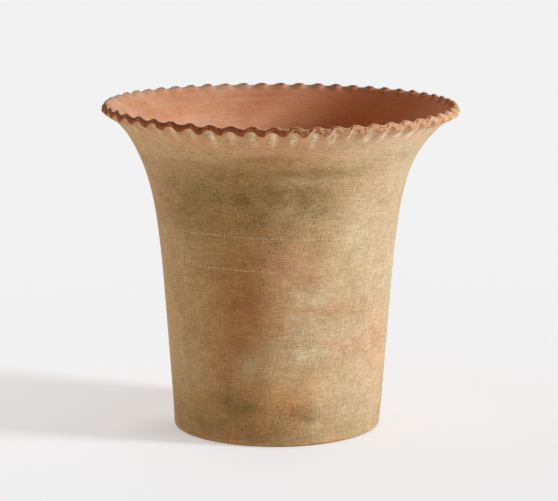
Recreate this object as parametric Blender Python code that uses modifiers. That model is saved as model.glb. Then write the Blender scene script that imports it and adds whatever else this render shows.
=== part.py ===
"""Hand-made terracotta pot with a crimped lip, as the pieces of clay that a potter joins.

Four pieces: a floor slab with a drain hole, a thrown wall that stands on the slab's flange, a
seam coil pressed into the inside corner, and a rim coil crimped all round.
Metres, +Z up. The origin is the centre of the foot, on the surface that the pot stands on.
A section is a list of (radius, height) points, and each piece turns one round the pot's axis.
"""

from math import atan2, cos, exp, hypot, pi, radians, sin

import bpy

# Driving dimensions
HEIGHT = 0.280  # foot to the top of a crest
RIM_RADIUS = 0.1525  # axis to the outside of a valley
FOOT_RADIUS = 0.0890
TAPER = 0.0698  # how much the radius grows for each metre of height, before the flare
FLARE_REACH = 0.0527  # what the flare adds to the radius at full height
FLARE_LENGTH = 0.0311  # height over which the flare grows by a factor of e
FOOT_WALL = 0.0095  # wall thickness at the foot
LIP_WALL = 0.0052  # wall thickness under the lip
GAP = 0.0003  # clearance kept between joined pieces

# Floor slab
FLOOR_TOP = 0.012
FLANGE_HEIGHT = 0.0032  # the slab's edge, which shows below the wall
FLANGE_ROUND = 0.0012
DRAIN_RADIUS = 0.011

# Seam coil
SEAM_LEG = 0.009  # how far it runs along the floor and up the wall
SEAM_BLUNT = 0.0008  # thickness left at its two thin edges

# Rim coil
RIM_JOINT = 0.2585  # height of the joint's outer edge
KEY_RISE = 0.0022  # ridge on the wall's top edge, which the rim coil sits over
LIP_BOTTOM = 0.2705  # where the rim coil's skins give way to the rolled lip
ROLL_RADIUS = 0.0030
ROLL_TOP = radians(130)
ROLL_BOTTOM = radians(-50)

# Crimps
CRIMPS = 54
CRIMP_RISE = 0.0014  # half the height between a valley and a crest
CRIMP_SWING = 0.0011  # half the distance by which a valley stands out beyond a crest
CRIMP_SKEW = 0.22  # makes each crest steeper on one side
CRIMP_TURN = radians(181)  # shifts the wave round the rim, counted in the wave's own phase
WAVE_PEAK = 1.081  # the skewed wave's highest value
CRIMP_START = 0.2625  # below this height the rim coil is round

# Mesh density
STEPS_PER_CRIMP = 6
WALL_STEPS = 84
SKIN_POINTS = 12

CLAY = (0.42, 0.17, 0.085)
WASHED_CLAY = (0.40, 0.26, 0.14)
CLAY_ROUGHNESS = 0.9


def clear_scene():
    for item in list(bpy.data.objects):
        bpy.data.objects.remove(item)


def make_collection(name):
    collection = bpy.data.collections.new(name)
    bpy.context.scene.collection.children.link(collection)
    return collection


def make_material(name, colour):
    material = bpy.data.materials.new(name)
    material.use_nodes = True
    shader = material.node_tree.nodes["Principled BSDF"]
    shader.inputs["Base Color"].default_value = (*colour, 1.0)
    shader.inputs["Roughness"].default_value = CLAY_ROUGHNESS
    shader.inputs["Metallic"].default_value = 0.0
    return material


def outer_radius(height):
    """The pot's outline: a straight taper with an exponential flare on top of it."""
    return FOOT_RADIUS + TAPER * height + FLARE_REACH * exp((height - HEIGHT) / FLARE_LENGTH)


def outer_slope(height):
    """How fast the outline's radius grows with height."""
    return TAPER + FLARE_REACH / FLARE_LENGTH * exp((height - HEIGHT) / FLARE_LENGTH)


def wall_thickness(height):
    return FOOT_WALL + (LIP_WALL - FOOT_WALL) * height / HEIGHT


def inner_radius(height):
    return outer_radius(height) - wall_thickness(height) * hypot(outer_slope(height), 1.0)


def in_wall(height, depth, rise=0.0):
    """The point that lies depth inside the outline and rise up along it, from this height."""
    slope = outer_slope(height)
    length = hypot(slope, 1.0)
    radius = outer_radius(height) + (slope * rise - depth) / length
    return radius, height + (slope * depth + rise) / length


def climb(low, high, count):
    """Heights from low to high, closer together near the top, where the wall flares."""
    shares = [step / (count - 1) for step in range(count)]
    return [low + (high - low) * (1 - (1 - share) ** 1.8) for share in shares]


def outside(low, high, count):
    """The outer skin, downwards."""
    return [in_wall(height, 0.0) for height in reversed(climb(low, high, count))]


def inside(low, high, count):
    """The inner skin, upwards."""
    return [in_wall(height, wall_thickness(height)) for height in climb(low, high, count)]


def arc(centre, radius, start, end, count):
    """Points along an arc of a section."""
    angles = [start + (end - start) * step / (count - 1) for step in range(count)]
    return [(centre[0] + radius * cos(a), centre[1] + radius * sin(a)) for a in angles]


def turn(name, section, steps, material, collection):
    """A ring with this closed section, whose outer side runs downwards."""
    mesh = bpy.data.meshes.new(name)
    corners = [(radius, 0.0, height) for radius, height in section]
    edges = [(i, (i + 1) % len(corners)) for i in range(len(corners))]
    mesh.from_pydata(corners, edges, [])
    mesh.materials.append(material)
    ring = bpy.data.objects.new(name, mesh)
    collection.objects.link(ring)
    screw = ring.modifiers.new("Turn", "SCREW")
    screw.steps = steps
    screw.render_steps = steps
    screw.use_merge_vertices = True
    screw.merge_threshold = 0.00001
    screw.use_smooth_shade = True
    return ring


def realise(ring):
    """Replaces a ring's section with the mesh that the turning makes of it."""
    bpy.context.view_layer.update()
    evaluated = ring.evaluated_get(bpy.context.evaluated_depsgraph_get())
    ring.data = bpy.data.meshes.new_from_object(evaluated)
    ring.modifiers.clear()


def floor_slab(material, collection):
    """A disc with a drain hole. Its flange carries the wall, and its pad fits inside the wall."""
    edge_radius = outer_radius(0.0)
    pad_radius = inner_radius(FLANGE_HEIGHT) - GAP
    round_centre = (edge_radius - FLANGE_ROUND, FLANGE_ROUND)
    section = [(edge_radius, FLANGE_HEIGHT)]
    section += arc(round_centre, FLANGE_ROUND, 0.0, -pi / 2, 4)
    section += [(DRAIN_RADIUS, 0.0), (DRAIN_RADIUS, FLOOR_TOP)]
    section += [(pad_radius, FLOOR_TOP), (pad_radius, FLANGE_HEIGHT)]
    turn("floor_slab", section, WALL_STEPS, material, collection)


def thrown_wall(material, collection):
    """The flared wall, from the slab's flange up to the ridge that keys into the rim coil."""
    foot = FLANGE_HEIGHT + GAP
    section = outside(foot, RIM_JOINT, SKIN_POINTS)
    section += [(inner_radius(foot), foot)]
    section += inside(foot, RIM_JOINT, SKIN_POINTS)
    section += [in_wall(RIM_JOINT, wall_thickness(RIM_JOINT) / 2, KEY_RISE)]
    turn("thrown_wall", section, WALL_STEPS, material, collection)


def seam_coil(material, collection):
    """A coil smoothed into the corner between floor and wall, with a hollow face."""
    low = FLOOR_TOP + GAP
    top = low + SEAM_LEG
    top_radius = inner_radius(top) - GAP
    hollow_centre = (top_radius - SEAM_LEG, top)
    section = [(top_radius, top), (inner_radius(low) - GAP, low), (hollow_centre[0], low)]
    section += arc(hollow_centre, SEAM_LEG - SEAM_BLUNT, -pi / 2, 0.0, 6)
    turn("seam_coil", section, WALL_STEPS, material, collection)


def crimp_wave(azimuth):
    """From -1 in a valley to 1 on a crest. Each crest is steep on one side."""
    phase = CRIMPS * azimuth + CRIMP_TURN
    return (sin(phase) + CRIMP_SKEW * sin(2 * phase)) / WAVE_PEAK


def crimp(mesh):
    """Pinches the lip into waves: crests go up and in, valleys down and out."""
    for vertex in mesh.vertices:
        x, y, height = vertex.co
        share = (height - CRIMP_START) / (LIP_BOTTOM - CRIMP_START)
        share = min(1.0, max(0.0, share))
        azimuth = atan2(y, x)
        wave = crimp_wave(azimuth) * share * share * (3 - 2 * share)
        radius = hypot(x, y) - CRIMP_SWING * wave
        vertex.co = (radius * cos(azimuth), radius * sin(azimuth), height + CRIMP_RISE * wave)


def rim_coil(material, collection):
    """The coil that sits over the wall's ridge. Its outer edge is rolled, then crimped."""
    thickness = wall_thickness(RIM_JOINT)
    above_joint = (RIM_JOINT + LIP_BOTTOM) / 2
    roll_centre = (
        RIM_RADIUS - CRIMP_SWING - ROLL_RADIUS,
        HEIGHT - CRIMP_RISE - ROLL_RADIUS,
    )
    section = arc(roll_centre, ROLL_RADIUS, ROLL_TOP, ROLL_BOTTOM, 6)
    section += outside(above_joint, LIP_BOTTOM, 2)
    section += [in_wall(RIM_JOINT, 0.0, GAP)]
    section += [in_wall(RIM_JOINT, thickness / 2, KEY_RISE + GAP)]
    section += [in_wall(RIM_JOINT, thickness, GAP)]
    section += inside(above_joint, LIP_BOTTOM, 2)
    ring = turn("rim_coil", section, CRIMPS * STEPS_PER_CRIMP, material, collection)
    realise(ring)
    crimp(ring.data)


def main():
    clear_scene()
    pot = make_collection("terracotta_pot")
    clay = make_material("bare_terracotta", CLAY)
    washed = make_material("washed_terracotta", WASHED_CLAY)
    floor_slab(clay, pot)
    thrown_wall(washed, pot)
    seam_coil(clay, pot)
    rim_coil(clay, pot)


main()
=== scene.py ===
"""The looks of a hand-made terracotta pot: a washed, thrown wall, a lip crimped by fingertip.

Each piece is a closed ring, turned round the pot's axis from a section and then pushed about as a
potter's hands would. Metres, +Z up. An azimuth is counted from the front, which faces -Y, and is
positive towards +X. A section runs down the outer side, under the piece and up the inner side.
"""

from math import cos, pi, radians, sin

import bpy
import numpy as np
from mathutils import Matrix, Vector, noise


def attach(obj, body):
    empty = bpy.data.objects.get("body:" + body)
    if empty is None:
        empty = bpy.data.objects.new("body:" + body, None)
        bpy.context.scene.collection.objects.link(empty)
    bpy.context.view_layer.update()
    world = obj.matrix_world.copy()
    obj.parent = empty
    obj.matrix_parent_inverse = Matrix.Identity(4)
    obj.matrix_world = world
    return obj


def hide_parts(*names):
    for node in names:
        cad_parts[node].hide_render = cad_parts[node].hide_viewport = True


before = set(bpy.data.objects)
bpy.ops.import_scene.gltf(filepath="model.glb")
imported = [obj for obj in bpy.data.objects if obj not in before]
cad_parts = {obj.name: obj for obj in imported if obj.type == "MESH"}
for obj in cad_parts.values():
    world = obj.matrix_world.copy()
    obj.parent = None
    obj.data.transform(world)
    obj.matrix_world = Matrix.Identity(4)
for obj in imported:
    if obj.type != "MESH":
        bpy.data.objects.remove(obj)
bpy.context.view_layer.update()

# The outline, as in the CAD model
FULL_HEIGHT = 0.280
FOOT_RADIUS = 0.0890
TAPER = 0.0698
FLARE_REACH = 0.0527
FLARE_LENGTH = 0.0311
FOOT_WALL = 0.0095
LIP_WALL = 0.0052

# Heights and radii of the joints
FLANGE_HEIGHT = 0.0032
FLOOR_TOP = 0.012
DRAIN_RADIUS = 0.011
RIM_JOINT = 0.2585
LAP = 0.004  # how far one piece runs under the next one's skin
FOOT_LAP = 0.0009  # the same at the foot
TUCK = 0.00010  # how deep it lies there
FOOT_ROUND = 0.0030
HOLE_ROUND = 0.0016
SEAM_LEG = 0.009
SEAM_PRESSES = 26
SEAM_SINK = 0.0015  # how far the seam's hidden faces run into the floor and the wall
SEAM_TUCK = 0.0002  # how deep its upper edge lies in the wall
JOINT_GAP = 0.0003
FLOOR_INSET = 0.005  # the slab's top ends this far in from the wall's outer face

# The floor's relief
SPIRAL_PITCH = 0.0072  # the potter's last pull
SPIRAL_DEPTH = 0.00028
SPIRAL_START = (0.018, 0.030)
DISH_DEPTH = 0.0012  # the floor dips round the drain hole
DISH_WIDTH = 0.006
HOLE_DENTS = 0.0004  # how far the hole is from round

# Throwing rings. The _START and _END pairs, here and elsewhere, are the two heights or radii
# between which something comes in or dies away
RING_PITCH = 0.0082
OUTER_RINGS = 0.00004
INNER_RINGS = 0.00016
RING_OVERTONE = 0.35
RINGS_START = (0.004, 0.016)
RINGS_END = (0.252, 0.270)
DENTS = ((0.00035, 0.070, 0.085, 3.0), (0.0001, 0.025, 0.018, 9.0))  # depth, width, height, seed

# The lip
LIP_END = 0.2734  # height on the outline where the outer skin turns into the rounded end
LIP_THICKNESS = 0.0057
LIP_BULGE = 0.0027  # how far the rounded end stands beyond that
LIP_SWELL = 0.007  # distance from the end over which the coil thickens
LIP_SHARPNESS = 0.75  # squares the end's inner half. 1 would leave it round

# Crimps
CRIMPS = 54
FLUTE_LENGTH = 0.0150  # distance from the lip's end over which a crimp fades out, outside
FLUTE_INSIDE = 0.0080  # and inside
CRIMP_RISE = 0.00135  # half the height between a valley and a crest
RISE_OUTSIDE = 1.32  # share of it at the outer corner
RISE_LOSS = 0.62  # what that share loses on the way in
CREST_HEIGHT = 1.08  # the three waves that add up to a crest: the plain one,
CREST_LEAN = 0.05  # the one that makes it lean
CREST_FLATTENING = 0.10  # and the one that makes it blunt
CRIMP_SWING = 0.00090  # half the distance by which a valley stands out beyond a crest
CRIMP_FOLD = 0.00045  # makes the outside steep on the left of each crest
CRIMP_TWIST = radians(36)  # how far a crest lags on the outer corner
GROOVE_DEPTH = 0.0012  # the mark that a fingertip leaves on the lip, beside each crest
GROOVE_TURN = radians(-108)  # its place, from the crest
GROOVE_WIDTH = radians(46)
GROOVE_SHARE = 0.72  # its place across the lip, from 0 outside to 1 inside
GROOVE_REACH = 0.24
# The lip's dark end is bare dark clay, partly painted shade
FACE_REACH = 0.0011  # how far the lip's dark end runs down the outside,
FACE_IN_VALLEYS = 0.0024  # more in the valleys on the left
FACE_ON_RIGHT = 0.0030  # and more on the right
FACE_FULL = 0.0004  # how far past the end of the outer skin it is at its darkest
FACE_TOP = (0.76, 0.86)  # where it fades out across the lip, from 0 outside to 1 inside
# The lip's pale top edge: partly worn clay, partly a painted highlight, on the front only
WEAR_AND_HIGHLIGHT_ACROSS = 0.92  # the middle of the pale worn edge
WEAR_AND_HIGHLIGHT_HALF = 0.08
CRIMP_START = -1.549  # the crimps' phase in front
# Waves round the rim, how far they shift the crimps' phase, and the azimuth they start at
CRIMP_WANDER = ((1, 2.35, radians(115.6)), (2, 0.81, radians(31.6)), (3, 0.42, radians(7.6)))

# How the hand-made pot departs from a true ring
BODY_SHIFT = -0.0029  # the body stands this far to the left of the mouth's centre
SHIFT_END = (0.230, 0.276)
FOOT_SLIP = 0.0005  # and the foot this much further
FOOT_SLIP_TOP = 0.03
MOUTH_TILT = radians(0.30)
TILT_START = (0.12, 0.27)
MOUTH_SADDLE = 0.0015  # the mouth is this much higher at its sides than in front and at the back
SADDLE_START = (0.235, 0.272)
FOOT_WEAR = 0.0016  # worn off the foot at its right front
WEAR_AZIMUTH = 0.8
WEAR_WIDTH = 0.5
WEAR_TOP = 0.012  # height that the wear reaches, and above which the wall is dented in full

# Mesh density: columns round the pot, and points along the longer parts of the sections
RIM_COLUMNS = CRIMPS * 16
WALL_COLUMNS = 336
FLOOR_COLUMNS = 192
SKIN_POINTS = 26
LIP_POINTS = 26
OUTER_WALL_POINTS = 150
INNER_WALL_POINTS = 132
UNDER_POINTS = 26
OVER_POINTS = 70
HOLLOW_POINTS = 14


# Outline -----------------------------------------------------------------------------------------


def flare(height):
    return np.exp((height - FULL_HEIGHT) / FLARE_LENGTH)


def foot_rounding(height):
    """How much the rounded edge of the foot takes off the radius."""
    low = np.clip(1 - height / FOOT_ROUND, 0.0, 1.0)
    return FOOT_ROUND * (1 - np.sqrt(1 - low * low))


def outer_radius(height):
    return FOOT_RADIUS + TAPER * height + FLARE_REACH * flare(height) - foot_rounding(height)


def outer_slope(height):
    return TAPER + FLARE_REACH / FLARE_LENGTH * flare(height)


def wall_thickness(height):
    return FOOT_WALL + (LIP_WALL - FOOT_WALL) * height / FULL_HEIGHT


def in_wall(height, depth):
    """Radius and height of the points that lie depth inside the outline at these heights."""
    slope = outer_slope(height)
    length = np.hypot(slope, 1.0)
    return outer_radius(height) - depth / length, height + slope * depth / length


def smooth(value, low, high):
    """0 below low, 1 above high, and an S-curve between them."""
    share = np.clip((value - low) / (high - low), 0.0, 1.0)
    return share * share * (3 - 2 * share)


def bell(value, middle, width):
    """1 at the middle, falling off evenly on both sides."""
    return np.exp(-(((value - middle) / width) ** 2))


# Rings -------------------------------------------------------------------------------------------


def azimuths(columns):
    return np.linspace(-pi, pi, columns, endpoint=False)[:, None]


def settle(azimuth, radius, height):
    """World positions, with the mouth off the body's axis, tilted and bent, all of it slightly."""
    shift = BODY_SHIFT * (1 - smooth(height, *SHIFT_END))
    slip = FOOT_SLIP * (1 - smooth(height, 0.0, FOOT_SLIP_TOP))
    x = radius * np.sin(azimuth) + shift - slip
    y = -radius * np.cos(azimuth)
    z = height - MOUTH_TILT * x * smooth(height, *TILT_START)
    z = z + MOUTH_SADDLE * np.sin(azimuth) ** 2 * smooth(height, *SADDLE_START)
    return np.stack([x, y, z], axis=-1)


def ring(name, azimuth, radius, height):
    """A closed ring. radius and height hold a row for each azimuth and a column for each point."""
    columns, points = radius.shape
    corners = settle(azimuth, radius, height).reshape(-1, 3)
    column, point = np.meshgrid(np.arange(columns), np.arange(points), indexing="ij")
    next_column = (column + 1) % columns
    next_point = (point + 1) % points
    faces = np.stack(
        [
            column * points + point,
            column * points + next_point,
            next_column * points + next_point,
            next_column * points + point,
        ],
        axis=-1,
    ).reshape(-1, 4)
    mesh = bpy.data.meshes.new(name)
    mesh.vertices.add(len(corners))
    mesh.vertices.foreach_set("co", corners.astype(np.float32).ravel())
    mesh.loops.add(faces.size)
    mesh.loops.foreach_set("vertex_index", faces.astype(np.int32).ravel())
    mesh.polygons.add(len(faces))
    mesh.polygons.foreach_set("loop_start", np.arange(0, faces.size, 4, dtype=np.int32))
    mesh.update(calc_edges=True)
    mesh.validate()
    mesh.shade_smooth()
    piece = bpy.data.objects.new(name, mesh)
    bpy.context.scene.collection.objects.link(piece)
    return piece


def paint(piece, name, values):
    """Stores one number for each corner of a ring, which the materials read by its name."""
    layer = piece.data.attributes.new(name, "FLOAT", "POINT")
    layer.data.foreach_set("value", np.ascontiguousarray(values, dtype=np.float32).ravel())


def lumps(azimuth, radius, height, across, along, seed):
    """Smooth noise from -1 to 1, with features about across wide and along high, in metres."""
    azimuth, radius, height = np.broadcast_arrays(azimuth, radius, height)
    x = (radius * np.sin(azimuth) / across).ravel()
    y = (radius * np.cos(azimuth) / across).ravel()
    z = (height / along).ravel() + seed
    values = [noise.noise(place) for place in zip(x, y, z)]
    return np.array(values).reshape(radius.shape)


# The clay's relief -------------------------------------------------------------------------------


def thrown_relief(azimuth, height, share):
    """What the potter's hands add to the radius. share goes from 0 outside to 1 inside."""
    radius = outer_radius(height)
    dents = sum(deep * lumps(azimuth, radius, height, *size) for deep, *size in DENTS)
    spiral = azimuth / (2 * pi) - height / RING_PITCH
    strength = 0.6 + 0.5 * lumps(azimuth, radius, height, 0.060, 0.030, 21.0)
    ridges = np.sin(2 * pi * spiral) + RING_OVERTONE * np.sin(4 * pi * spiral + 1.0)
    depth = OUTER_RINGS + (INNER_RINGS - OUTER_RINGS) * share
    calm = smooth(height, *RINGS_START) * (1 - smooth(height, *RINGS_END))
    right_front = bell(azimuth, WEAR_AZIMUTH, WEAR_WIDTH)
    worn = FOOT_WEAR * right_front * (1 - smooth(height, 0.0, WEAR_TOP))
    return dents * smooth(height, 0.0, WEAR_TOP) - worn + depth * strength * ridges * calm


def crimp_phase(azimuth):
    """Turns by a full circle for each crimp, a little unevenly, with a crest at each whole turn."""
    wander = sum(size * np.sin(waves * (azimuth - start)) for waves, size, start in CRIMP_WANDER)
    return CRIMPS * azimuth + CRIMP_START + wander


def hand(phase, seed):
    """A number from about 0.75 to 1.25 that differs from crimp to crimp."""
    turn = phase / (2 * pi)
    return 1 + 0.15 * np.sin(turn * 2.4 + seed) + 0.10 * np.sin(turn * 5.1 + 2 * seed)


def crimp_push(azimuth, distance, share):
    """How far a crimp pushes the lip up and out. share is 0 outside and 1 inside."""
    phase = crimp_phase(azimuth)
    lagging = phase + CRIMP_TWIST * (1 - share)
    fade = 1 - smooth(distance, -0.001, FLUTE_LENGTH + (FLUTE_INSIDE - FLUTE_LENGTH) * share)
    wave = CREST_HEIGHT * np.cos(lagging) - CREST_LEAN * np.sin(2 * lagging)
    wave = wave - CREST_FLATTENING * np.cos(3 * lagging)
    up = CRIMP_RISE * (RISE_OUTSIDE - RISE_LOSS * share) * wave * hand(phase, 0.0) * fade
    fold = CRIMP_FOLD * (1 - 0.3 * share) * (np.sin(2 * phase) - 0.5)
    out = (fold - CRIMP_SWING * np.cos(phase)) * hand(phase, 1.0) * fade
    return up, out


def finger_groove(azimuth, distance, share):
    """How far a fingertip has pressed the lip's end back down the wall."""
    phase = crimp_phase(azimuth)
    turn = np.angle(np.exp(1j * (phase - GROOVE_TURN)))
    width = np.where(turn > 0, 0.6, 1.0) * GROOVE_WIDTH  # the side next to the crest is steeper
    mark = bell(turn, 0.0, width) * bell(share, GROOVE_SHARE, GROOVE_REACH)
    return mark * hand(phase, 2.0) * (distance < 0)


# The outline's arc length, counted down from the lip's end
OUTLINE = np.linspace(0.2, LIP_END, 800)
STEPS = np.hypot(np.diff(OUTLINE), np.diff(outer_radius(OUTLINE)))
FROM_LIP = np.concatenate([np.cumsum(STEPS[::-1])[::-1], [0.0]])


def distance_at(height):
    """Distance along the outline from a height to the lip's end."""
    return np.interp(height, OUTLINE, FROM_LIP)


def height_at(distance):
    """Height on the outline at a distance from the lip's end, or beyond it where it is negative."""
    inside = np.interp(np.maximum(distance, 0.0), FROM_LIP[::-1], OUTLINE[::-1])
    return inside - np.minimum(distance, 0.0) / np.hypot(outer_slope(LIP_END), 1.0)


# Where the wash, the residue, the stains and the pits lie ----------------------------------------

# Each stain: azimuth in degrees, height, half width in degrees, half height, strength
STAINS = {
    "olive": [
        (-15, 0.213, 5, 0.008, 1.1), (-16, 0.22, 24, 0.018, 0.7),
        (-42, 0.208, 18, 0.026, 0.7), (9, 0.217, 14, 0.014, 0.9),
        (-8, 0.197, 13, 0.011, 0.7), (12, 0.236, 18, 0.004, 0.8),
        (0, 0.223, 14, 0.009, 0.7), (-24, 0.238, 9, 0.006, 0.6),
        (-22, 0.033, 8, 0.009, 1.1), (-34, 0.018, 24, 0.01, 0.55),
        (-68, 0.02, 10, 0.014, 0.5), (-4, 0.012, 14, 0.008, 0.5),
        (16, 0.026, 6, 0.006, 0.7), (-30, 0.165, 14, 0.012, 0.3),
    ],
    # Broad brown patches: partly real staining, partly painted shade on the front left, where the
    # pot is darkest
    "warm_and_shade": [
        (-14, 0.13, 32, 0.11, 1.0), (-20, 0.015, 40, 0.012, 1.0),
        (2, 0.05, 7, 0.012, 1.0), (-30, 0.033, 36, 0.014, 1.0),
        (-40, 0.172, 12, 0.016, 0.7), (0, 0.225, 26, 0.024, 0.9),
    ],
    "red": [
        (-13, 0.124, 7, 0.016, 1.0), (-19, 0.122, 8, 0.015, 0.9),
        (-10, 0.162, 6, 0.008, 0.6), (-24, 0.147, 13, 0.006, 0.6),
        (-20, 0.09, 8, 0.016, 0.75), (3, 0.16, 5, 0.01, 0.5),
        (15, 0.147, 6, 0.006, 0.5), (-10, 0.063, 3, 0.01, 0.6),
        (-29, 0.065, 4, 0.02, 0.5), (18, 0.165, 3, 0.012, 0.35),
        (62, 0.085, 6, 0.01, 0.4), (45, 0.088, 10, 0.01, 0.3),
        (-3, 0.249, 9, 0.003, 0.8), (4, 0.237, 14, 0.003, 0.5),
        (-32, 0.06, 5, 0.015, 0.4), (-3, 0.115, 6, 0.02, 0.3),
        (8, 0.032, 7, 0.006, 0.7), (35, 0.118, 14, 0.006, 0.3),
    ],
    "pale": [
        (15, 0.081, 8, 0.0045, 1.1), (16, 0.097, 8, 0.01, 0.7),
        (35, 0.097, 8, 0.006, 0.5), (37, 0.178, 4, 0.008, 0.5),
        (-13, 0.069, 6, 0.008, 0.7), (-6, 0.083, 8, 0.006, 0.3),
        (9, 0.229, 8, 0.003, 0.35), (4, 0.203, 4, 0.006, 0.25),
        (-55, 0.165, 14, 0.01, 0.3), (21, 0.128, 8, 0.005, 0.6),
        (9, 0.113, 6, 0.003, 0.5), (-40, 0.248, 16, 0.004, 0.4),
        (-58, 0.06, 10, 0.02, 0.3), (20, 0.016, 3, 0.003, 0.6),
        (-40, 0.257, 20, 0.006, 0.5), (-58, 0.25, 12, 0.01, 0.4),
        (42, 0.258, 20, 0.006, 0.4),
    ],
    "gold": [
        (4, 0.063, 9, 0.022, 0.9), (12, 0.125, 12, 0.03, 0.5),
        (26, 0.052, 10, 0.012, 0.7), (10, 0.076, 8, 0.008, 0.9),
        (25, 0.145, 8, 0.02, 0.6), (40, 0.152, 8, 0.01, 0.4),
        (-72, 0.095, 9, 0.045, 0.6), (-45, 0.13, 12, 0.03, 0.3),
        (55, 0.07, 10, 0.03, 0.3), (22, 0.035, 5, 0.006, 0.5),
    ],
    "rose": [
        (0, 0.256, 24, 0.007, 0.9), (-40, 0.258, 20, 0.007, 0.8),
        (42, 0.26, 20, 0.006, 0.7), (5, 0.157, 9, 0.012, 0.9),
        (13, 0.145, 8, 0.008, 0.7), (0, 0.12, 9, 0.016, 0.7),
        (62, 0.085, 9, 0.026, 0.8), (66, 0.055, 8, 0.018, 0.5),
        (58, 0.114, 9, 0.01, 0.5), (-62, 0.1, 9, 0.012, 0.4),
        (-66, 0.215, 12, 0.022, 0.6), (30, 0.118, 12, 0.006, 0.5),
        (33, 0.088, 8, 0.008, 0.4), (-45, 0.075, 8, 0.01, 0.3),
    ],
    "ochre": [
        (-30, 0.262, 3, 0.004, 0.6), (5, 0.04, 8, 0.01, 0.9),
        (-11, 0.05, 6, 0.009, 0.5), (-72, 0.11, 8, 0.06, 0.4),
        (12, 0.058, 8, 0.01, 0.3),
    ],
    "pits": [
        (-15, 0.213, 4, 0.005, 1.0), (-15, 0.2125, 9, 0.012, 0.65),
        (12, 0.208, 7, 0.014, 0.55), (-2, 0.171, 5, 0.006, 0.75),
        (8, 0.188, 8, 0.01, 0.4), (6, 0.028, 9, 0.008, 0.5),
        (-42, 0.0088, 1, 0.001, 1.0),
    ],
    "score": [
        (50, 0.21, 12, 0.008, 0.5), (-20, 0.18, 30, 0.008, 0.9),
        (18, 0.18, 16, 0.008, 1.0), (-26, 0.153, 17, 0.008, 1.0),
        (16, 0.112, 6, 0.004, 1.0), (57, 0.099, 9, 0.003, 0.9),
        (5, 0.095, 22, 0.003, 0.8),
    ],
}
HIDDEN_STAINS = 60  # how many more are scattered over the sides and back
HIDDEN_SEED = 11

# Lines scored into the wall as it turned. They lie in planes that lean a little
SCORE_LEVELS = (0.2095, 0.1762, 0.1479, 0.1089, 0.0993, 0.0912)
SCORE_LEAN = (0.0328, 0.0400, 1.0)
SCORE_WANDER = 0.0012
SCORE_EDGE = (0.00015, 0.00055)  # distance from the line's middle over which it fades out

# Where the wash lies
FOOT_LINE = 0.0024  # mean height of its lower edge
FOOT_LINE_WANDER = 0.0022
FOOT_LINE_EDGE = (0.0012, 0.0020)  # how soft that edge is, downwards and upwards
WASH_BELOW = 0.25  # how much of the wash is left below it
RUBBED_START = (0.246, 0.262)
RUBBED = 0.20  # share of the wash that is rubbed off above those heights,
RUBBED_IN_FRONT = 0.14  # more of it in front
RUBBED_ON_LEFT = 0.10  # and more on the left
FRONT_WIDTH = 0.62
LEFT_AZIMUTH = -0.75
WASH_END = (0.2724, 0.2736)
FOOT_BAND = 0.009  # height that the foot's ochre reaches

# The residue in the crimps
RESIDUE_TURN = 0.45  # how far it lies beside each crest, in the crimps' phase
RESIDUE_LENGTH = 0.012  # how far every streak runs down the wall,
RESIDUE_EXTRA = 0.010  # and about how much further each one goes
RESIDUE_SHARE = 0.42  # how thick it is,
RESIDUE_IN_FRONT = 0.58  # how much thicker in front
RESIDUE_ON_LEFT = 0.12  # and on the left
RESIDUE_UNEVEN = 1.2
RESIDUE_LOWEST = 0.2  # height below which there is none

# Painted shade: the inside turns redder and darker towards its right
INSIDE_SHADE_ACROSS = (-0.065, 0.085)  # where the inside turns redder, from left to right


def with_hidden_stains():
    """The stains above, with seeded ones of the same kinds and sizes for the sides and back."""
    stains = {kind: list(places) for kind, places in STAINS.items()}
    kinds = list(stains)
    chance = np.random.RandomState(HIDDEN_SEED)
    for count in range(HIDDEN_STAINS):
        kind = kinds[count % len(kinds)]
        azimuth = chance.uniform(85, 275)
        height = chance.uniform(0.01, 0.235)
        half_width = chance.uniform(6, 20)
        half_height = chance.uniform(0.008, 0.030)
        strength = chance.uniform(0.4, 0.9) * (0.5 if kind == "pits" else 1.0)
        stains[kind].append((azimuth, height, half_width, half_height, strength))
    return stains


ALL_STAINS = with_hidden_stains()


def stain_cover(kind, azimuth, height):
    """The strongest stain of a kind at each point, fading out from each stain's middle."""
    cover = np.zeros(np.broadcast(azimuth, height).shape)
    for middle, level, half_width, half_height, strength in ALL_STAINS[kind]:
        turn = np.angle(np.exp(1j * (azimuth - radians(middle)))) / radians(half_width)
        rise = (height - level) / half_height
        cover = np.maximum(cover, strength * np.exp(-0.5 * (turn * turn + rise * rise)))
    return cover


def wash_cover(azimuth, height):
    """How much of the outside the wash covers: all but the foot's edge and the lip."""
    foot = FOOT_LINE + FOOT_LINE_WANDER * lumps(azimuth, FOOT_RADIUS, 0.0, 0.020, 1.0, 5.0)
    front = bell(azimuth, 0.0, FRONT_WIDTH)
    left = bell(azimuth, LEFT_AZIMUTH, 0.35)
    rubbed = RUBBED + RUBBED_IN_FRONT * front + RUBBED_ON_LEFT * left
    rubbed = rubbed * smooth(height, *RUBBED_START)
    above_foot = smooth(height, foot - FOOT_LINE_EDGE[0], foot + FOOT_LINE_EDGE[1])
    cover = (WASH_BELOW + (1 - WASH_BELOW) * above_foot) * (1 - rubbed)
    return cover * (1 - smooth(height, *WASH_END))


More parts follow.
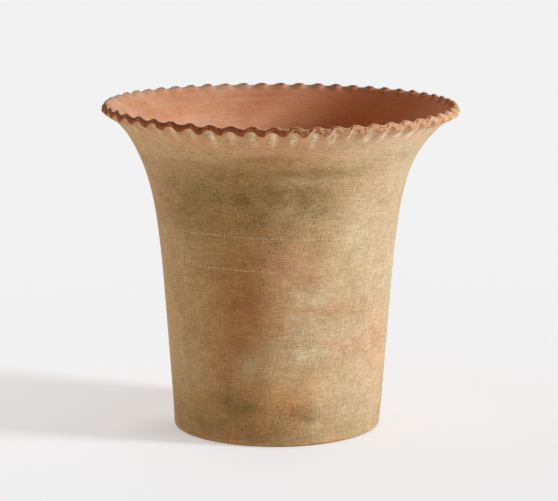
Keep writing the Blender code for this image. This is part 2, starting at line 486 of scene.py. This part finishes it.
def residue_cover(azimuth, distance):
    """Pale slip left in the hollows that the crimps press into the outside."""
    phase = crimp_phase(azimuth)
    hollow = np.maximum(np.cos(phase + RESIDUE_TURN), 0.0) ** 1.3
    length = RESIDUE_LENGTH + RESIDUE_EXTRA * hand(phase, 11.0)
    reach = smooth(distance, 0.0, 0.001) * (1 - smooth(distance, 0.4 * length, length))
    front = bell(azimuth, 0.08, 0.50)
    left = bell(azimuth, LEFT_AZIMUTH, 0.40)
    amount = RESIDUE_SHARE + RESIDUE_IN_FRONT * front + RESIDUE_ON_LEFT * left
    amount = amount + RESIDUE_UNEVEN * (hand(phase, 17.0) - 1)
    return hollow * reach * np.clip(amount, 0.0, 1.0)


def inside_shade_cover(azimuth, radius, share):
    """How much painted shade reddens and darkens the inside, towards its right. share is 1 inside.
    """
    return smooth(radius * np.sin(azimuth), *INSIDE_SHADE_ACROSS) * share


def paint_outside(piece, azimuth, height, outside):
    """Paints every layer of the outside. outside is 1 on the outer skin and 0 elsewhere."""
    height = np.broadcast_to(height, outside.shape)
    azimuth = np.broadcast_to(azimuth, outside.shape)
    residue = residue_cover(azimuth, distance_at(height)) * outside * (height > RESIDUE_LOWEST)
    paint(piece, "wash", wash_cover(azimuth, height) * outside)
    # ochre at the foot; its lowest edge also carries a painted shadow
    paint(piece, "foot", (1 - smooth(height, 0.0, FOOT_BAND)) * outside)
    paint(piece, "residue", residue)
    for kind in STAINS:
        paint(piece, kind, stain_cover(kind, azimuth, height) * outside)


# Materials ---------------------------------------------------------------------------------------


class Nodes:
    """A short way to write the nodes of a material or a world."""

    def __init__(self, tree, coordinates):
        self.tree = tree
        self.place = tree.nodes.new("ShaderNodeTexCoord").outputs[coordinates]

    def output(self, kind, name):
        return self.tree.nodes.new(kind).outputs[name]

    def put(self, socket, value):
        """Links an output to a socket, or sets the socket to a plain value."""
        if isinstance(value, bpy.types.NodeSocket):
            self.tree.links.new(value, socket)
        elif isinstance(value, tuple) and len(value) == 3 and socket.type == "RGBA":
            socket.default_value = (*value, 1.0)
        else:
            socket.default_value = value

    def attribute(self, name):
        node = self.tree.nodes.new("ShaderNodeAttribute")
        node.attribute_name = name
        return node.outputs["Fac"]

    def math(self, operation, *values):
        node = self.tree.nodes.new("ShaderNodeMath")
        node.operation = operation
        for socket, value in zip(node.inputs, values):
            self.put(socket, value)
        return node.outputs[0]

    def vector(self, operation, *values):
        """The node of a vector operation, which has an output for a vector and one for a number."""
        node = self.tree.nodes.new("ShaderNodeVectorMath")
        node.operation = operation
        for socket, value in zip(node.inputs, values):
            self.put(socket, value)
        return node

    def upward(self, vector):
        """A vector's part along Z."""
        parts = self.tree.nodes.new("ShaderNodeSeparateXYZ")
        self.put(parts.inputs[0], vector)
        return parts.outputs["Z"]

    def noise(self, level, upright, detail=2.0, roughness=0.5):
        """Noise with this many features a metre round the pot and up it."""
        stretched = self.vector("MULTIPLY", self.place, (level, level, upright))
        node = self.tree.nodes.new("ShaderNodeTexNoise")
        self.put(node.inputs["Vector"], stretched.outputs[0])
        node.inputs["Scale"].default_value = 1.0
        node.inputs["Detail"].default_value = detail
        node.inputs["Roughness"].default_value = roughness
        return node.outputs["Fac"]

    def specks(self, scale):
        """Distance from the nearest of many scattered points, and a random number for it."""
        node = self.tree.nodes.new("ShaderNodeTexVoronoi")
        self.put(node.inputs["Vector"], self.place)
        node.inputs["Scale"].default_value = scale
        separate = self.tree.nodes.new("ShaderNodeSeparateColor")
        self.put(separate.inputs[0], node.outputs["Color"])
        return node.outputs["Distance"], separate.outputs[0]

    def ramp(self, value, low, high, start=0.0, end=1.0):
        """Maps low to high onto start to end, smoothly and without overshoot."""
        node = self.tree.nodes.new("ShaderNodeMapRange")
        node.interpolation_type = "SMOOTHSTEP"
        for socket, number in zip(node.inputs, (value, low, high, start, end)):
            self.put(socket, number)
        return node.outputs[0]

    def mix(self, factor, first, second, blend="MIX"):
        node = self.tree.nodes.new("ShaderNodeMix")
        node.data_type = "RGBA"
        node.blend_type = blend
        # The factor, the two colours and the result lie between the sockets of the other types
        for index, value in ((0, factor), (6, first), (7, second)):
            self.put(node.inputs[index], value)
        return node.outputs[2]

    def bump(self, height, strength, distance, normal=None):
        node = self.tree.nodes.new("ShaderNodeBump")
        node.inputs["Strength"].default_value = strength
        node.inputs["Distance"].default_value = distance
        self.put(node.inputs["Height"], height)
        if normal is not None:
            self.put(node.inputs["Normal"], normal)
        return node.outputs["Normal"]


def new_material(name):
    material = bpy.data.materials.new(name)
    material.use_nodes = True
    return material, Nodes(material.node_tree, "Object")


CLAY = (0.770, 0.385, 0.210)
CLAY_DEEP = (0.640, 0.255, 0.120)
CLAY_BLOOM = (0.800, 0.480, 0.310)
# the inside's painted shade, redder and darker clay towards its right
INSIDE_SHADE_CLAY = (0.580, 0.160, 0.050)
FOOT_CLAY = (0.610, 0.315, 0.125)
# dark clay of the lip's end, partly painted shade
LIP_CLAY_AND_SHADE = (0.290, 0.078, 0.022)
# pale worn clay, lightened as a painted highlight
LIP_WEAR_AND_HIGHLIGHT = (0.950, 0.640, 0.430)
DUST = (0.650, 0.380, 0.212)
WASH = (0.525, 0.390, 0.238)
WASH_GREEN = (0.385, 0.308, 0.142)
# brown of the broad patches, partly stain and partly painted shade
WASH_WARM_AND_SHADE = (0.470, 0.268, 0.098)
WASH_RED = (0.415, 0.186, 0.081)
WASH_OLIVE = (0.264, 0.181, 0.075)
WASH_PALE = (0.640, 0.520, 0.340)
WASH_GOLD = (0.685, 0.500, 0.295)
WASH_ROSE = (0.635, 0.385, 0.235)
WASH_OCHRE = (0.640, 0.340, 0.130)
RESIDUE = (0.860, 0.750, 0.570)
PIT = (0.110, 0.060, 0.030)
STAIN_COLOURS = {
    "gold": WASH_GOLD,
    "rose": WASH_ROSE,
    "ochre": WASH_OCHRE,
    "red": WASH_RED,
    "olive": WASH_OLIVE,
    "pale": WASH_PALE,
}
STAIN_LIMIT = 0.92  # even the strongest stain lets a little of the wash show through
# the strongest that the inside's painted shade gets
INSIDE_SHADE_LIMIT = 0.8
RESIDUE_LIMIT = 0.9
PIT_SCALE = 580
ROUGHNESS = 0.88
SPECULAR = 0.25
SHEEN = 0.17
SHEEN_ROUGHNESS = 0.35

# Features a metre round the pot and up it, and how much each kind darkens and lightens the clay
MOTTLES = (
    (1000, 1000, 0.18),
    (700, 110, 0.08),
    (100, 950, 0.11),
    (420, 360, 0.05),
    (90, 70, 0.05),
)
BARE_MOTTLING = 0.45  # share of the mottling on clay that no wash covers


def clay_layer(nodes):
    """Bare terracotta: its colour with soft clouds, turning lines, bloom and grit."""
    clouds = nodes.noise(22, 22, detail=3.0)
    lines = nodes.noise(9, 420, detail=3.0)
    grit = nodes.noise(900, 900, detail=1.0)
    bloom = nodes.noise(16, 34, detail=4.0)
    colour = nodes.mix(nodes.ramp(clouds, 0.35, 0.65), CLAY, CLAY_DEEP)
    colour = nodes.mix(nodes.ramp(lines, 0.30, 0.75, 0.0, 0.30), colour, CLAY_BLOOM)
    colour = nodes.mix(nodes.ramp(bloom, 0.56, 0.72, 0.0, 0.35), colour, CLAY_BLOOM)
    colour = nodes.mix(nodes.ramp(grit, 0.30, 0.42, 0.10, 0.0), colour, PIT)
    return colour


def wash_layer(nodes):
    """The rubbed slip on the outside: brush strokes both ways, and stains of several kinds."""
    level = nodes.noise(34, 800, detail=4.0, roughness=0.62)
    upright = nodes.noise(560, 45, detail=4.0, roughness=0.62)
    clouds = nodes.noise(30, 24, detail=4.0)
    colour = nodes.mix(nodes.ramp(clouds, 0.38, 0.66, 0.0, 0.35), WASH, WASH_PALE)
    # broad brown patches, partly stain and partly painted shade
    colour = nodes.mix(nodes.attribute("warm_and_shade"), colour, WASH_WARM_AND_SHADE)
    tints = nodes.noise(20, 48, detail=3.0)
    colour = nodes.mix(nodes.ramp(tints, 0.48, 0.68, 0.0, 0.45), colour, WASH_GREEN)
    colour = nodes.mix(nodes.ramp(level, 0.45, 0.72, 0.0, 0.34), colour, WASH_RED)
    colour = nodes.mix(nodes.ramp(upright, 0.45, 0.72, 0.0, 0.22), colour, WASH_PALE)
    patches = nodes.noise(75, 110, detail=6.0, roughness=0.65)
    edge = nodes.ramp(patches, 0.32, 0.68, 0.45, 1.20)
    for kind, stain in STAIN_COLOURS.items():
        amount = nodes.math("MULTIPLY", nodes.attribute(kind), edge)
        colour = nodes.mix(nodes.math("MINIMUM", amount, STAIN_LIMIT), colour, stain)
    return colour


def scored(nodes):
    """1 in the middle of a scored line, 0 away from it."""
    leaning = nodes.vector("DOT_PRODUCT", nodes.place, SCORE_LEAN).outputs["Value"]
    wander = nodes.math("MULTIPLY", nodes.noise(45, 10), SCORE_WANDER)
    height = nodes.math("ADD", leaning, wander)
    total = 0.0
    for level in SCORE_LEVELS:
        middle = level + SCORE_WANDER / 2
        off = nodes.math("ABSOLUTE", nodes.math("SUBTRACT", height, middle))
        total = nodes.math("ADD", nodes.ramp(off, *SCORE_EDGE, 1.0, 0.0), total)
    broken = nodes.ramp(nodes.noise(90, 20), 0.30, 0.50, 0.25)
    return nodes.math("MULTIPLY", nodes.math("MULTIPLY", total, nodes.attribute("score")), broken)


def foot_and_lip(nodes, normal):
    """Bare clay, redder and darker inside on the right as painted shade, ochre at the foot, dark
    and crumbly on the lip, its dark partly painted shade.
    """
    # painted shade inside, towards the right
    inside_shade = nodes.math("MULTIPLY", nodes.attribute("inside_shade"), INSIDE_SHADE_LIMIT)
    colour = nodes.mix(inside_shade, clay_layer(nodes), INSIDE_SHADE_CLAY)
    colour = nodes.mix(nodes.ramp(nodes.attribute("foot"), 0.1, 0.5), colour, FOOT_CLAY)
    face = nodes.attribute("face")
    rough = nodes.ramp(nodes.noise(420, 420, detail=3.0), 0.35, 0.60, 0.70, 1.0)
    # the lip's dark end: bare dark clay, with painted shade on the left and in the finger grooves
    colour = nodes.mix(nodes.math("MULTIPLY", face, rough), colour, LIP_CLAY_AND_SHADE)
    crumbs = nodes.noise(520, 520, detail=3.0)
    dust = nodes.math("MULTIPLY", nodes.attribute("dust"), nodes.ramp(crumbs, 0.34, 0.56))
    colour = nodes.mix(dust, colour, DUST)
    holes = nodes.math("MULTIPLY", face, nodes.ramp(crumbs, 0.32, 0.42, 0.7, 0.0))
    colour = nodes.mix(holes, colour, PIT)
    return colour, nodes.bump(nodes.math("MULTIPLY", face, crumbs), 0.9, 0.0012, normal)


def wash_and_residue(nodes, colour):
    """The wash and residue with ragged edges, the lip's worn edge with a painted highlight, and a
    painted shadow along the foot's bottom edge.
    """
    ragged = nodes.noise(120, 220, detail=4.0)
    uneven = nodes.math("MULTIPLY", nodes.math("SUBTRACT", ragged, 0.5), 1.3)
    cover = nodes.ramp(nodes.math("ADD", nodes.attribute("wash"), uneven), 0.10, 0.90)
    colour = nodes.mix(cover, colour, wash_layer(nodes))
    streaks = nodes.ramp(nodes.noise(330, 90, detail=4.0), 0.3, 0.65, 0.25, 1.15)
    residue = nodes.math("MULTIPLY", nodes.attribute("residue"), streaks)
    colour = nodes.mix(nodes.math("MINIMUM", residue, RESIDUE_LIMIT), colour, RESIDUE)
    # the lip's top edge: worn clay and a painted highlight
    worn = nodes.math("MULTIPLY", nodes.attribute("edge"), nodes.ramp(ragged, 0.30, 0.55, 0.4))
    colour = nodes.mix(worn, colour, LIP_WEAR_AND_HIGHLIGHT)
    # painted shadow along the foot's bottom edge, where it meets the floor
    return nodes.mix(nodes.ramp(nodes.attribute("foot"), 0.91, 0.985, 0.0, 0.85), colour, PIT)


def scores_and_pits(nodes, colour, normal):
    """Scored lines, and specks of grit that have fallen out."""
    score = scored(nodes)
    colour = nodes.mix(nodes.math("MULTIPLY", score, 0.85), colour, WASH_PALE)
    normal = nodes.bump(nodes.math("SUBTRACT", 1.0, score), 0.4, 0.0004, normal)
    distance, chance = nodes.specks(PIT_SCALE)
    wanted = nodes.math("LESS_THAN", chance, nodes.attribute("pits"))
    spot = nodes.math("MULTIPLY", wanted, nodes.ramp(distance, 0.20, 0.42, 1.0, 0.0))
    colour = nodes.mix(nodes.math("MULTIPLY", spot, 0.8), colour, PIT)
    return colour, nodes.bump(nodes.math("SUBTRACT", 1.0, spot), 0.5, 0.0005, normal)


def fired_clay():
    """The pot's clay: bare where no layer is painted, washed, stained and scored where they are."""
    material, nodes = new_material("fired_terracotta")
    grain = nodes.noise(1500, 1500, detail=2.0)
    lines = nodes.noise(12, 520, detail=2.0)
    normal = nodes.bump(lines, 0.25, 0.0006)
    normal = nodes.bump(grain, 0.30, 0.0004, normal)
    colour, normal = foot_and_lip(nodes, normal)
    colour = wash_and_residue(nodes, colour)
    colour, normal = scores_and_pits(nodes, colour, normal)
    strength = nodes.ramp(nodes.attribute("wash"), 0.0, 1.0, BARE_MOTTLING, 1.0)
    for level, upright, depth in MOTTLES:
        mottle = nodes.noise(level, upright, detail=2.0)
        shade = nodes.ramp(mottle, 0.28, 0.72, 1 - depth, 1 + depth)
        colour = nodes.mix(strength, colour, shade, "MULTIPLY")
    shader = nodes.tree.nodes["Principled BSDF"]
    nodes.put(shader.inputs["Base Color"], colour)
    nodes.put(shader.inputs["Normal"], normal)
    shader.inputs["Roughness"].default_value = ROUGHNESS
    shader.inputs["Specular IOR Level"].default_value = SPECULAR
    shader.inputs["Sheen Weight"].default_value = SHEEN
    shader.inputs["Sheen Roughness"].default_value = SHEEN_ROUGHNESS
    return material


# The pieces --------------------------------------------------------------------------------------


def tucked(height, joint):
    """How far the piece above a joint sinks into the one below it, from their meeting downwards."""
    return TUCK * (1 - smooth(height, joint - LAP, joint + LAP))


def skins(azimuth, height, depth, share):
    """Radius and height of section points on the thrown outline, for every azimuth."""
    radius, level = in_wall(height, depth)
    return radius + thrown_relief(azimuth, height, share), level + 0 * azimuth


def rim_section():
    """Distance from the lip's end and depth in the wall, point by point, and the skin's length."""
    skin = distance_at(np.linspace(LIP_END, RIM_JOINT - LAP, SKIN_POINTS))
    inner = skin[:0:-1]
    around = np.linspace(0, pi, LIP_POINTS + 1)[:-1]
    rounding = np.sin(around) ** np.where(around < pi / 2, LIP_SHARPNESS, 1.0)
    thickness = wall_thickness(height_at(inner))
    thickness += (LIP_THICKNESS - thickness) * (1 - smooth(inner, 0.0, LIP_SWELL))
    inner_depth = thickness - tucked(height_at(inner), RIM_JOINT)
    end_depth = LIP_THICKNESS / 2 * (1 + np.cos(around))
    distance = np.concatenate([skin, inner, -LIP_BULGE * rounding])
    depth = np.concatenate([tucked(height_at(skin), RIM_JOINT), inner_depth, end_depth])
    return distance, depth, len(skin)


def lip_face(azimuth, radius, height, distance, across, share):
    """1 on the lip's dark end and 0 elsewhere, and how far down the wall its ragged edge lies."""
    phase = crimp_phase(azimuth)
    left = smooth(-np.sin(azimuth), -0.1, 0.6)
    right = smooth(np.sin(azimuth), 0.10, 0.60)
    valley = np.maximum(-np.cos(phase + 0.4), 0.0) * hand(phase, 3.0)
    ragged = 1 + 0.8 * lumps(azimuth, radius, height, 0.003, 0.003, 31.0)
    reach = FACE_REACH + (FACE_IN_VALLEYS * valley * left + FACE_ON_RIGHT * right) * ragged
    face = smooth(-distance, -reach, FACE_FULL) * (1 - smooth(across, *FACE_TOP)) * (share < 0.9)
    return face, reach


def paint_lip(piece, azimuth, distance, across, share, face, reach, groove):
    """The lip's dark end, with painted shade on the left, in the finger grooves and on the crest
    tips behind, a painted highlight along its worn top edge, and dust at the right and behind.
    """
    behind = smooth(-np.cos(azimuth), -0.1, 0.3)
    # painted shade: dark crest tips on the rim behind
    painted_tip_shade = np.maximum(np.cos(crimp_phase(azimuth) + 0.6), 0.0) ** 2 * behind
    painted_tip_shade = painted_tip_shade * smooth(across, 0.78, 0.90) * (share > 0.7) * (1 - smooth(distance, 0.0002, 0.0018))
    # painted shade: the lip's dark end is darker on the left, away from the light, and darker in
    # the finger grooves
    painted_shade = 0.45 + 0.55 * smooth(-np.sin(azimuth), -0.6, 0.1)
    paint(piece, "face", np.maximum(face * np.minimum(painted_shade + 0.4 * groove, 1.0), painted_tip_shade))
    # painted highlight along the lip's top edge, with worn clay, on the front only
    wear_and_highlight = bell(across, WEAR_AND_HIGHLIGHT_ACROSS, WEAR_AND_HIGHLIGHT_HALF) * (distance < 0)
    paint(piece, "edge", wear_and_highlight * smooth(np.cos(azimuth), -0.2, 0.6))
    dusty = smooth(np.sin(azimuth), -0.05, 0.45) * smooth(-distance, -reach, FACE_FULL - reach)
    dusty = dusty * (1 - smooth(across, 0.88, 1.0))
    inside_dust = (share > 0.5) * (1 - smooth(distance, 0.0005, 0.0050)) * behind * (1 - painted_tip_shade)
    paint(piece, "dust", np.maximum(dusty, 0.65 * inside_dust))


def crimped_rim(material):
    """The rim coil: thin skins below, a rounded lip above, all of it pressed into crimps."""
    distance, depth, skin_points = rim_section()
    height = height_at(distance)
    share = np.clip(depth / wall_thickness(height), 0.0, 1.0)
    azimuth = azimuths(RIM_COLUMNS)
    groove = finger_groove(azimuth, distance, share)
    radius, level = skins(azimuth, height_at(distance + GROOVE_DEPTH * groove), depth, share)
    up, out = crimp_push(azimuth, distance, share)
    piece = ring("crimped_rim", azimuth, radius + out, level + up)
    across = depth / LIP_THICKNESS
    face, reach = lip_face(azimuth, radius, height, distance, across, share)
    outside = np.broadcast_to((np.arange(len(depth)) < skin_points) * 1.0, radius.shape)
    paint_outside(piece, azimuth, height, outside * (1 - face))
    paint_lip(piece, azimuth, distance, across, share, face, reach, groove)
    # the inside's painted shade, towards its right
    paint(piece, "inside_shade", inside_shade_cover(azimuth, radius, share))
    piece.data.materials.append(material)
    return piece


def washed_wall(material):
    """The thrown wall, from the slab's flange to just under the rim coil's skins."""
    down = np.linspace(RIM_JOINT + LAP, FLANGE_HEIGHT - FOOT_LAP, OUTER_WALL_POINTS)
    up = np.linspace(FLANGE_HEIGHT + JOINT_GAP, RIM_JOINT + LAP, INNER_WALL_POINTS)
    sunk = TUCK - tucked(down, RIM_JOINT)
    sunk = sunk + TUCK * (1 - smooth(down, FLANGE_HEIGHT - FOOT_LAP, FLANGE_HEIGHT + FOOT_LAP))
    height = np.concatenate([down, up])
    depth = np.concatenate([sunk, wall_thickness(up) - (TUCK - tucked(up, RIM_JOINT))])
    share = np.concatenate([0 * down, 0 * up + 1])
    azimuth = azimuths(WALL_COLUMNS)
    radius, level = skins(azimuth, height, depth, share)
    piece = ring("washed_wall", azimuth, radius, level)
    paint_outside(piece, azimuth, height, (1 - share) + 0 * radius)
    # the inside's painted shade, towards its right
    paint(piece, "inside_shade", inside_shade_cover(azimuth, radius, share))
    piece.data.materials.append(material)
    return piece


def floor_section():
    """Radius and height of the slab's points, and how many of them are its outer edge."""
    quarter = np.linspace(0, pi / 2, 9)
    opening = HOLE_ROUND * (1 - np.sin(quarter))
    closing = HOLE_ROUND * (1 - np.cos(quarter))
    above = np.linspace(FLANGE_HEIGHT + FOOT_LAP, FOOT_ROUND, 5)[:-1]
    edge = np.concatenate([above, FOOT_ROUND * (1 - np.sin(quarter))])
    sunk = TUCK * smooth(edge, FLANGE_HEIGHT - FOOT_LAP, FLANGE_HEIGHT + FOOT_LAP)
    hole_edge = DRAIN_RADIUS + HOLE_ROUND
    under = np.linspace(FOOT_RADIUS - FOOT_ROUND, hole_edge, UNDER_POINTS)[1:-1]
    bore = np.linspace(HOLE_ROUND, FLOOR_TOP - HOLE_ROUND, 8)[1:-1]
    over = np.linspace(hole_edge, outer_radius(FLOOR_TOP) - FLOOR_INSET, OVER_POINTS)[1:]
    parts = (
        (outer_radius(edge) - sunk, edge),
        (under, 0 * under),
        (DRAIN_RADIUS + opening, closing),
        (DRAIN_RADIUS + 0 * bore, bore),
        (DRAIN_RADIUS + closing, FLOOR_TOP - opening),
        (over, FLOOR_TOP + 0 * over),
        (over[-1:], [FLANGE_HEIGHT + FOOT_LAP]),
    )
    radius = np.concatenate([part[0] for part in parts])
    height = np.concatenate([part[1] for part in parts])
    return radius, height, len(edge)


def turned_floor(material):
    """The floor slab, with a rounded foot edge, a drain hole and the spiral of the last pull."""
    radius, height, edge_points = floor_section()
    azimuth = azimuths(FLOOR_COLUMNS)
    top = (height > FLOOR_TOP - 0.0001) * 1.0
    turn = azimuth / (2 * pi) - radius / SPIRAL_PITCH
    ripple = SPIRAL_DEPTH * np.sin(2 * pi * turn) * smooth(radius, *SPIRAL_START)
    ripple = ripple - DISH_DEPTH * bell(radius, DRAIN_RADIUS, DISH_WIDTH)
    unround = HOLE_DENTS * lumps(azimuth, 0.02, height, 0.012, 0.02, 2.0) * (radius < 0.016)
    foot = FOOT_RADIUS - FOOT_ROUND
    near_foot = smooth(radius, 0.060, foot - 0.002) * (height < FLOOR_TOP / 2)
    unround = unround + thrown_relief(azimuth, height, 0.0) * near_foot
    piece = ring("turned_floor", azimuth, radius + unround + 0 * azimuth, height + ripple * top)
    edge = (np.arange(len(radius)) < edge_points) * 1.0
    paint_outside(piece, azimuth, height, np.broadcast_to(edge, (FLOOR_COLUMNS, len(radius))))
    # the inside's painted shade, towards its right
    paint(piece, "inside_shade", inside_shade_cover(azimuth, radius, (height > FLOOR_TOP / 2) * 1.0))
    piece.data.materials.append(material)
    return piece


def pressed_seam(material):
    """The coil smoothed into the corner inside, with the marks of the finger that pressed it."""
    azimuth = azimuths(FLOOR_COLUMNS * 2)
    wander = 2.0 * lumps(azimuth, 0.08, 0.0, 0.06, 1.0, 8.0)
    press = 0.5 + 0.5 * np.cos(SEAM_PRESSES * azimuth + wander)
    leg = SEAM_LEG + 0.0012 * press + 0.0008 * lumps(azimuth, 0.08, 0.0, 0.03, 1.0, 14.0)
    turn = np.linspace(0, pi / 2, HOLLOW_POINTS)
    top = FLOOR_TOP + leg
    wall_radius = outer_radius(top) - wall_thickness(top) * np.hypot(outer_slope(top), 1.0)
    hollow = leg + SEAM_TUCK
    radius = wall_radius + SEAM_TUCK - hollow * (1 - np.cos(turn))
    height = top - hollow * np.sin(turn)
    bottom = 0 * top + FLOOR_TOP - SEAM_SINK
    radius = np.concatenate([radius, radius[:, -1:], wall_radius + SEAM_SINK], axis=1)
    height = np.concatenate([height, bottom, bottom], axis=1)
    piece = ring("pressed_seam", azimuth, radius[:, ::-1], height[:, ::-1])
    # the inside's painted shade, towards its right
    paint(piece, "inside_shade", inside_shade_cover(azimuth, radius[:, ::-1], 1.0))
    piece.data.materials.append(material)
    return piece


# The studio --------------------------------------------------------------------------------------

KEY_AIM = Vector((0, 0, 0.15))
KEY_AZIMUTH = radians(74)
KEY_ELEVATION = radians(20)
KEY_REACH = 2.2
KEY_SIZE = 0.5
KEY_ENERGY = 46
KEY_COLOUR = (0.93, 1.0, 1.09)
PAPER = 0.62  # share of the light that the floor gives back
PAPER_REACH = 12.0
PAPER_DROP = 0.0002  # the floor lies this far below the foot
PAPER_WHITE = 0.891  # what the camera sees of the floor and of everything behind
SKY_ON_PAPER = (0.208, 0.186, 0.149)  # what the world alone adds to the floor
PAPER_BOUNCE = (0.97, 0.78, 0.54)  # tint of the light that the floor throws up onto the pot
# Soft spots where the floor glows less, painted shade: centre, radius, depth. The last is a painted
# shadow beside the foot
PAPER_DIPS = (
    ((0.0, -0.1, 0.0), 1.0, 0.020),
    ((0.17, 0.05, 0.0), 0.40, 0.022),
    ((-0.09, -0.02, 0.0), 0.06, 0.090),
)

# The world's light, from where it is dim to where it is bright, and the light straight above
BACK_DIRECTION = (-0.60, 1.0, -0.7)
BACK_SPREAD = (-0.5, 0.9)  # along that direction, from dim to bright
TOP_SPREAD = (0.70, 1.0)  # along Z, from none of the top light to all of it
FRONT_LIGHT = (0.139, 0.096, 0.052)
TOP_LIGHT = (0.300, 0.285, 0.255)
BACK_LIGHT = (0.98, 0.92, 0.84)

CAMERA_PLACE = (-0.0015, -2.277, 0.5716)
CAMERA_TILT = radians(79.56)
CAMERA_LENS = 173.18
CAMERA_SENSOR = 36


def key_direction():
    level = cos(KEY_ELEVATION)
    return Vector((sin(KEY_AZIMUTH) * level, -cos(KEY_AZIMUTH) * level, sin(KEY_ELEVATION)))


def plane(name, reach, height):
    mesh = bpy.data.meshes.new(name)
    corners = [(-reach, -reach), (reach, -reach), (reach, reach), (-reach, reach)]
    mesh.from_pydata([(x, y, height) for x, y in corners], [], [(0, 1, 2, 3)])
    piece = bpy.data.objects.new(name, mesh)
    bpy.context.scene.collection.objects.link(piece)
    return piece


def key_light_on_paper(nodes, place):
    """How bright the key light alone makes the floor, where nothing shades it."""
    to_key = nodes.vector("SUBTRACT", KEY_AIM + KEY_REACH * key_direction(), place).outputs[0]
    length = nodes.vector("LENGTH", to_key).outputs["Value"]
    facing = nodes.vector("DOT_PRODUCT", to_key, key_direction()).outputs["Value"]
    lit = nodes.math("MULTIPLY", facing, nodes.upward(to_key))
    lit = nodes.math("DIVIDE", lit, nodes.math("POWER", length, 4.0))
    return nodes.math("MULTIPLY", nodes.math("MAXIMUM", lit, 0.0), PAPER * KEY_ENERGY / pi**2)


def studio_floor():
    """A wide pale floor. Its own glow evens out the key light, so that only the shadow shows."""
    floor = plane("studio_floor", PAPER_REACH, -PAPER_DROP)
    material, nodes = new_material("studio_paper")
    tree = nodes.tree
    tree.nodes.remove(tree.nodes["Principled BSDF"])
    place = nodes.output("ShaderNodeNewGeometry", "Position")
    lit = key_light_on_paper(nodes, place)
    # painted shade: the floor glows less in the dips
    for centre, reach, dip in PAPER_DIPS:
        away = nodes.vector("DISTANCE", place, centre).outputs["Value"]
        lit = nodes.math("ADD", lit, nodes.ramp(away, 0.0, reach, dip, 0.0))
    unlit = [PAPER_WHITE - part for part in SKY_ON_PAPER]
    glow = nodes.vector("MULTIPLY_ADD", lit, [-part for part in KEY_COLOUR], unlit).outputs[0]
    seen = nodes.output("ShaderNodeLightPath", "Is Camera Ray")
    tint = nodes.mix(seen, PAPER_BOUNCE, (1.0, 1.0, 1.0))
    emission = tree.nodes.new("ShaderNodeEmission")
    nodes.put(emission.inputs["Color"], nodes.mix(1.0, glow, tint, "MULTIPLY"))
    diffuse = tree.nodes.new("ShaderNodeBsdfDiffuse")
    nodes.put(diffuse.inputs["Color"], (PAPER, PAPER, PAPER))
    add = tree.nodes.new("ShaderNodeAddShader")
    nodes.put(add.inputs[0], diffuse.outputs[0])
    nodes.put(add.inputs[1], emission.outputs[0])
    nodes.put(tree.nodes["Material Output"].inputs["Surface"], add.outputs[0])
    floor.data.materials.append(material)


def studio_light():
    """A soft window of light from the right, a little in front and above."""
    data = bpy.data.lights.new("key", "AREA")
    data.shape = "DISK"
    data.size = KEY_SIZE
    data.energy = KEY_ENERGY
    data.color = KEY_COLOUR
    key = bpy.data.objects.new("key", data)
    key.location = KEY_AIM + KEY_REACH * key_direction()
    key.rotation_euler = key_direction().to_track_quat("Z", "Y").to_euler()
    bpy.context.scene.collection.objects.link(key)


def studio_world():
    """Even white for the camera. What lights the pot is bright behind it, and dim in front."""
    world = bpy.data.worlds.new("studio")
    world.use_nodes = True
    bpy.context.scene.world = world
    nodes = Nodes(world.node_tree, "Generated")
    toward = nodes.vector("DOT_PRODUCT", nodes.place, BACK_DIRECTION).outputs["Value"]
    light = nodes.mix(nodes.ramp(toward, *BACK_SPREAD), FRONT_LIGHT, BACK_LIGHT)
    above = nodes.ramp(nodes.upward(nodes.place), *TOP_SPREAD)
    light = nodes.mix(above, light, TOP_LIGHT)
    seen = nodes.output("ShaderNodeLightPath", "Is Camera Ray")
    light = nodes.mix(seen, light, (PAPER_WHITE, PAPER_WHITE, PAPER_WHITE))
    nodes.put(nodes.tree.nodes["Background"].inputs["Color"], light)


def camera():
    data = bpy.data.cameras.new("camera")
    data.lens = CAMERA_LENS
    data.sensor_width = CAMERA_SENSOR
    view = bpy.data.objects.new("camera", data)
    view.location = CAMERA_PLACE
    view.rotation_euler = (CAMERA_TILT, 0, 0)
    bpy.context.scene.collection.objects.link(view)
    bpy.context.scene.camera = view


# The scene ---------------------------------------------------------------------------------------

clay = fired_clay()
for piece, node, slot in (
    (crimped_rim(clay), "rim_coil", "bare_terracotta"),
    (washed_wall(clay), "thrown_wall", "washed_terracotta"),
    (turned_floor(clay), "floor_slab", "bare_terracotta"),
    (pressed_seam(clay), "seam_coil", "bare_terracotta"),
):
    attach(piece, "root")
    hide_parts(node)

studio_floor()
studio_light()
studio_world()
camera()
bpy.context.scene.view_settings.view_transform = "Standard"
